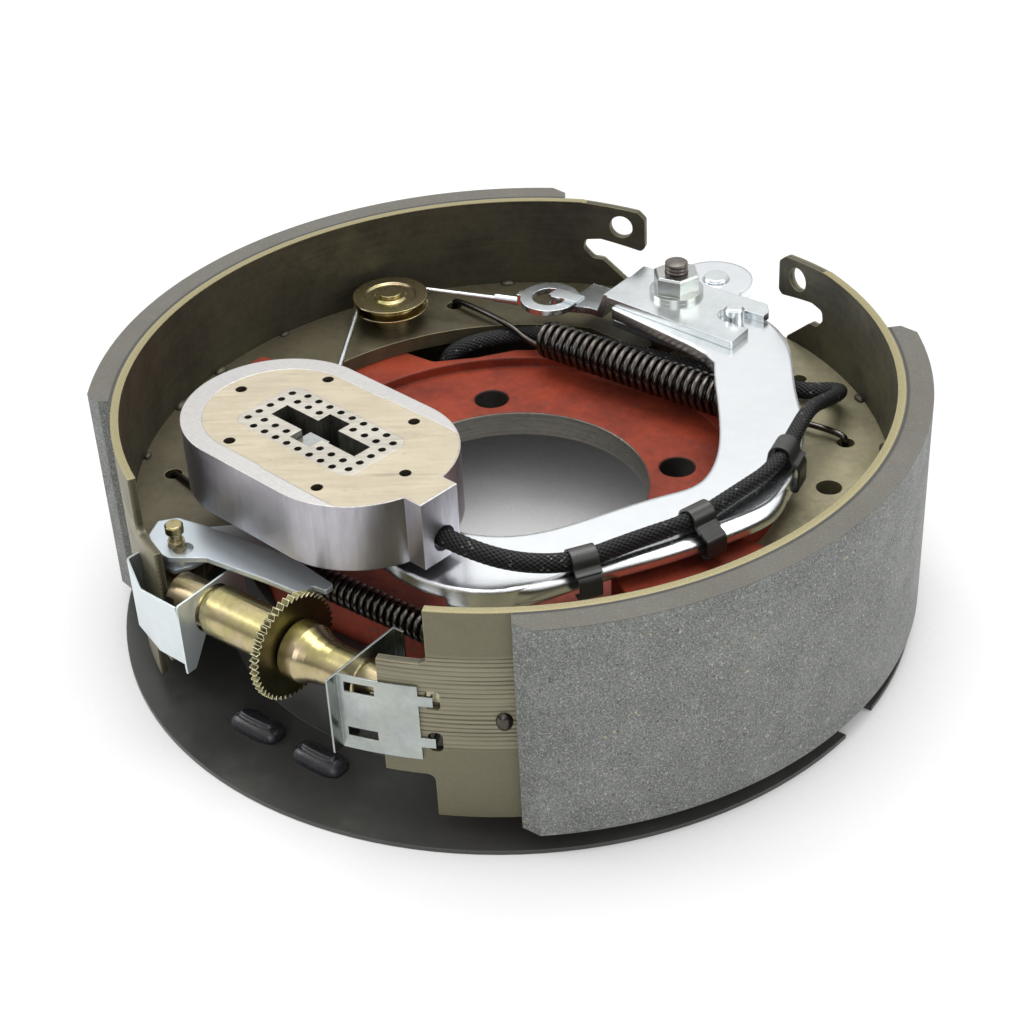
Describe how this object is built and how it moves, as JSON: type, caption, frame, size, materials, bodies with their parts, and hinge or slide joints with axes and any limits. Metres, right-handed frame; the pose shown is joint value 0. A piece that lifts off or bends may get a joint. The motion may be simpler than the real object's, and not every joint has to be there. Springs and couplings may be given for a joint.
{
  "type": "electric trailer brake assembly",
  "caption": "Round drum brake assembly with curved lined shoes on a red cast spider, a black dust shield, a curved lever carrying an oblong electromagnet, springs and a toothed adjuster.",
  "frame": {"origin": "centre of the pilot bore on the spider's mounting face", "axes": "+X towards the primary shoe, +Y from the adjuster to the anchor, +Z out of the open face, away from the axle flange"},
  "size_m": [0.309, 0.3056, 0.1032],
  "materials": {
    "red_primer": "brushed-on red-orange primer, satin",
    "shield_black": "satin black paint",
    "rubber": "moulded black rubber",
    "dark_steel": "dark threaded steel",
    "zinc": "bright zinc plate",
    "yellow_zinc": "yellow zinc plate",
    "chromate": "olive-yellow chromate with machining lines",
    "lining": "ground friction lining with pale and brass flecks",
    "black_wire": "black oxide wire",
    "braid": "black braided sleeve",
    "aluminium": "brushed aluminium casing",
    "tan_face": "tan ground face",
    "core_steel": "ground steel",
    "clip_black": "black phosphated spring steel"
  },
  "bodies": {
    "backing": {"spider": "red_primer", "dust_shield": "shield_black", "slot_plugs": "rubber", "lead_grommet": "rubber", "anchor_stud": "dark_steel", "anchor_nut": "zinc", "anchor_post": "dark_steel", "guide_plate": "zinc", "cable_bracket": "zinc", "cable_eye": "zinc"},
    "lever": {"actuating_lever": "zinc", "push_stud": "zinc", "stop_pin": "zinc", "lead_clips": "clip_black", "magnet_lead": "braid", "magnet_post": "zinc", "magnet_spring": "dark_steel"},
    "magnet": {"magnet_body": "aluminium", "magnet_pad": "tan_face", "magnet_core": "core_steel", "magnet_clip": "zinc"},
    "secondary_shoe": {"secondary_rim": "chromate", "secondary_web": "chromate", "secondary_lining": "lining", "secondary_clip": "zinc", "adjuster_sleeve": "yellow_zinc", "adjuster_nut": "yellow_zinc", "lever_pin": "yellow_zinc", "guide_post": "yellow_zinc", "upper_spring": "black_wire", "lower_spring": "black_wire", "adjuster_cable": "zinc"},
    "primary_shoe": {"primary_rim": "chromate", "primary_web": "chromate", "primary_lining": "lining", "primary_clip": "zinc"},
    "star": {"star_wheel": "yellow_zinc"},
    "pawl": {"adjuster_lever": "zinc", "lever_link": "zinc", "cable_hook": "zinc"},
    "pulley": {"cable_guide": "yellow_zinc"}
  },
  "joints": [
    {"name": "lever_swing", "type": "hinge", "parent": "backing", "child": "lever", "pos_m": [0, 0.1125, 0.036], "axis": [0, 0, 1], "range_deg": [-3, 3], "deforming": ["magnet_lead"]},
    {"name": "magnet_float", "type": "slide", "parent": "lever", "child": "magnet", "axis": [0, 0, 1], "range_m": [-0.002, 0], "stiffness_N_per_m": 4000, "springref_m": 0.005, "deforming": ["magnet_spring"]},
    {"name": "secondary_shoe_swing", "type": "hinge", "parent": "backing", "child": "secondary_shoe", "pos_m": [0, 0.1125, 0.018], "axis": [0, 0, -1], "range_deg": [0, 1]},
    {"name": "primary_shoe_swing", "type": "hinge", "parent": "secondary_shoe", "child": "primary_shoe", "pos_m": [0.045, -0.1275, 0.018], "axis": [0, 0, -1], "range_deg": [0, 1.5], "deforming": ["upper_spring", "lower_spring"]},
    {"name": "star_wheel_turn", "type": "hinge", "parent": "secondary_shoe", "child": "star", "pos_m": [0.004, -0.1275, 0.018], "axis": [1, 0, 0], "continuous": true},
    {"name": "adjuster_lever_swing", "type": "hinge", "parent": "secondary_shoe", "child": "pawl", "pos_m": [-0.0555, -0.1205, 0.03], "axis": [0, 0, 1], "range_deg": [0, 4], "deforming": ["adjuster_cable"]},
    {"name": "pulley_turn", "type": "hinge", "parent": "secondary_shoe", "child": "pulley", "pos_m": [-0.1075, 0.0578, 0.0315], "axis": [0, 0, 1], "range_deg": [-15, 0]}
  ],
  "couplings": [
    {"joint": "pulley_turn", "follows": "adjuster_lever_swing", "ratio": -3.4}
  ]
}
